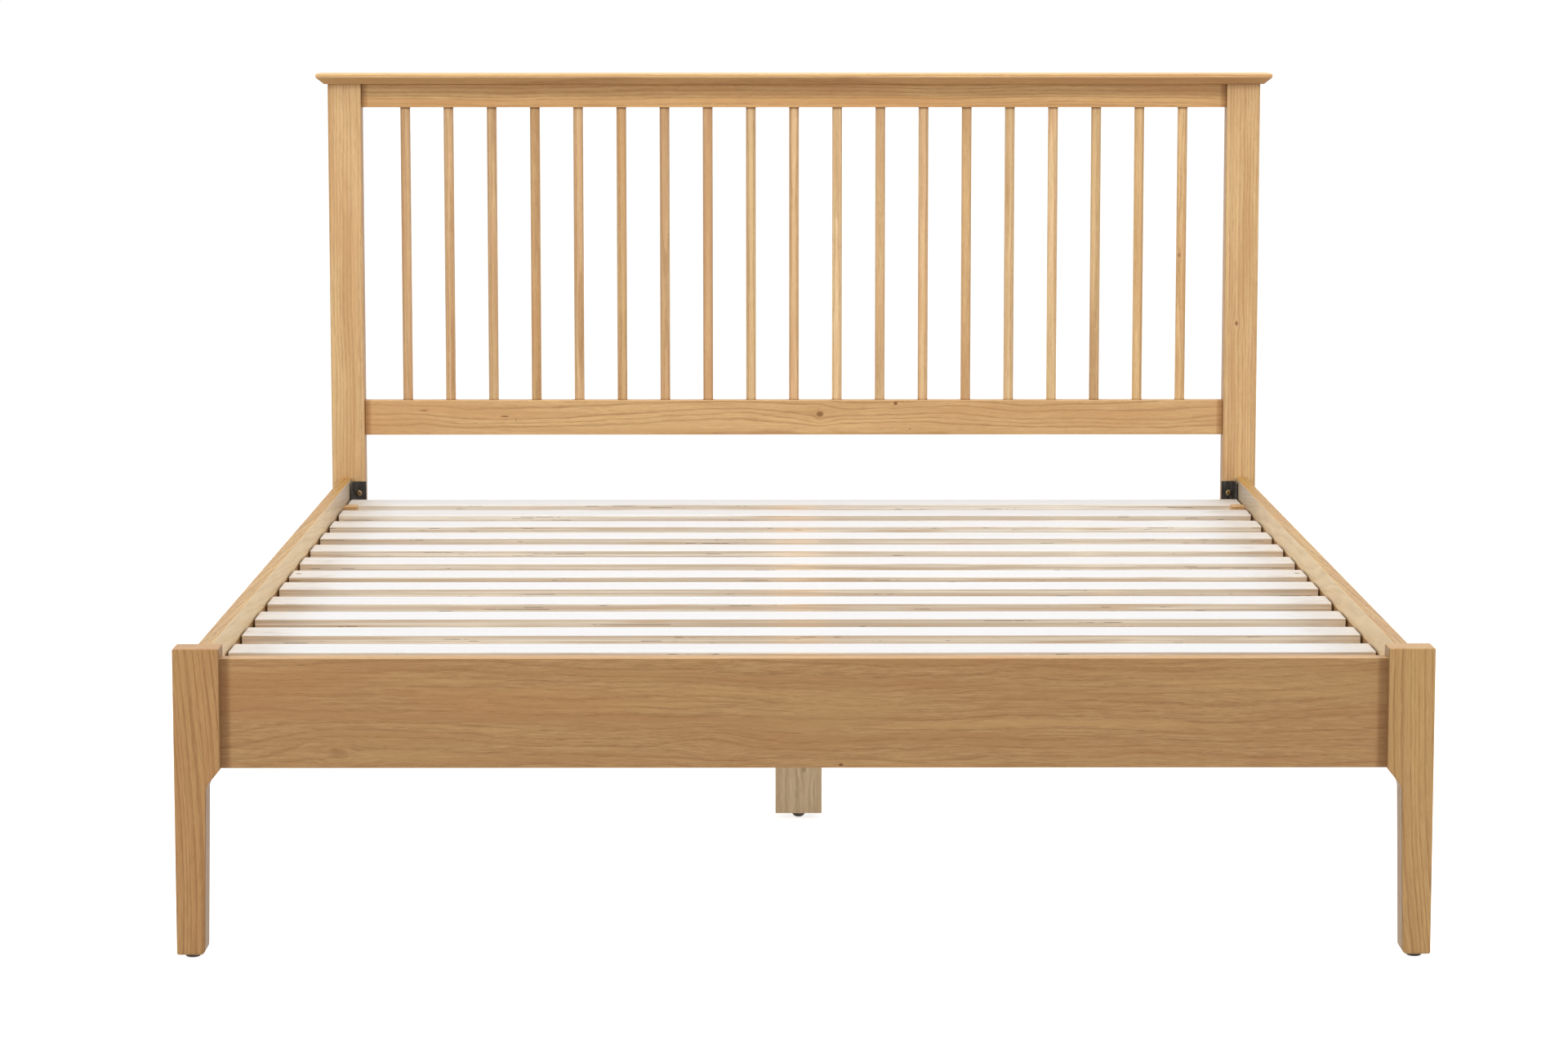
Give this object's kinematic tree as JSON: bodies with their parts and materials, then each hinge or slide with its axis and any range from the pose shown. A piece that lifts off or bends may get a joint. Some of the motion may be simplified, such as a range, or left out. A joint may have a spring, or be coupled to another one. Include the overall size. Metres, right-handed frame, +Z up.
{
  "type": "wooden bed frame",
  "caption": "Oak spindle bed frame: capped headboard with round spindles, shaped foot legs, side rails on steel brackets, slat rolls and a centre leg with a screw foot.",
  "frame": {"origin": "on the floor, in the middle of the bed's outline", "axes": "+X to the right seen from the foot, +Y from the foot to the headboard, +Z up"},
  "size_m": [1.637, 2.1154, 1.085],
  "materials": {
    "oak_headboard": "satin lacquer, light honey oak",
    "oak_foot": "satin lacquer, honey oak",
    "oak_side": "satin lacquer, honey oak",
    "slat_ply": "pale plywood, bare edges",
    "pine": "planed softwood",
    "webbing": "woven tape",
    "black_steel": "black powder coat",
    "zinc_steel": "zinc plated",
    "dark_plastic": "moulded, dark brown"
  },
  "bodies": {
    "frame": {"bracket_screws": "zinc_steel", "centre_leg": "pine", "centre_leg_screws": "zinc_steel", "centre_rail": "pine", "centre_rail_hangers": "black_steel", "corner_bolts": "zinc_steel", "foot_corner_brackets": "black_steel", "foot_leg_left": "oak_foot", "foot_leg_right": "oak_foot", "foot_rail": "oak_foot", "head_corner_brackets": "black_steel", "head_cross_rail": "oak_side", "headboard_cap_rail": "oak_headboard", "headboard_lower_rail": "oak_headboard", "headboard_post_left": "oak_headboard", "headboard_post_right": "oak_headboard", "headboard_top_rail": "oak_headboard", "ledger_screws": "zinc_steel", "leg_glides": "dark_plastic", "side_rail_left": "oak_side", "side_rail_right": "oak_side", "slat_01": "slat_ply", "slat_02": "slat_ply", "slat_03": "slat_ply", "slat_04": "slat_ply", "slat_05": "slat_ply", "slat_06": "slat_ply", "slat_07": "slat_ply", "slat_08": "slat_ply", "slat_09": "slat_ply", "slat_10": "slat_ply", "slat_11": "slat_ply", "slat_12": "slat_ply", "slat_13": "slat_ply", "slat_ledger_left": "pine", "slat_ledger_right": "pine", "slat_screws": "zinc_steel", "slat_stop_blocks": "oak_side", "slat_webbing": "webbing", "spindle_01": "oak_headboard", "spindle_02": "oak_headboard", "spindle_03": "oak_headboard", "spindle_04": "oak_headboard", "spindle_05": "oak_headboard", "spindle_06": "oak_headboard", "spindle_07": "oak_headboard", "spindle_08": "oak_headboard", "spindle_09": "oak_headboard", "spindle_10": "oak_headboard", "spindle_11": "oak_headboard", "spindle_12": "oak_headboard", "spindle_13": "oak_headboard", "spindle_14": "oak_headboard", "spindle_15": "oak_headboard", "spindle_16": "oak_headboard", "spindle_17": "oak_headboard", "spindle_18": "oak_headboard", "spindle_19": "oak_headboard", "threaded_inserts": "zinc_steel"},
    "centre_foot": {"centre_leg_foot": "dark_plastic"}
  },
  "joints": [
    {"name": "centre_foot_screw", "type": "slide", "parent": "frame", "child": "centre_foot", "axis": [0, 0, -1], "range_m": [0, 0.012]}
  ]
}
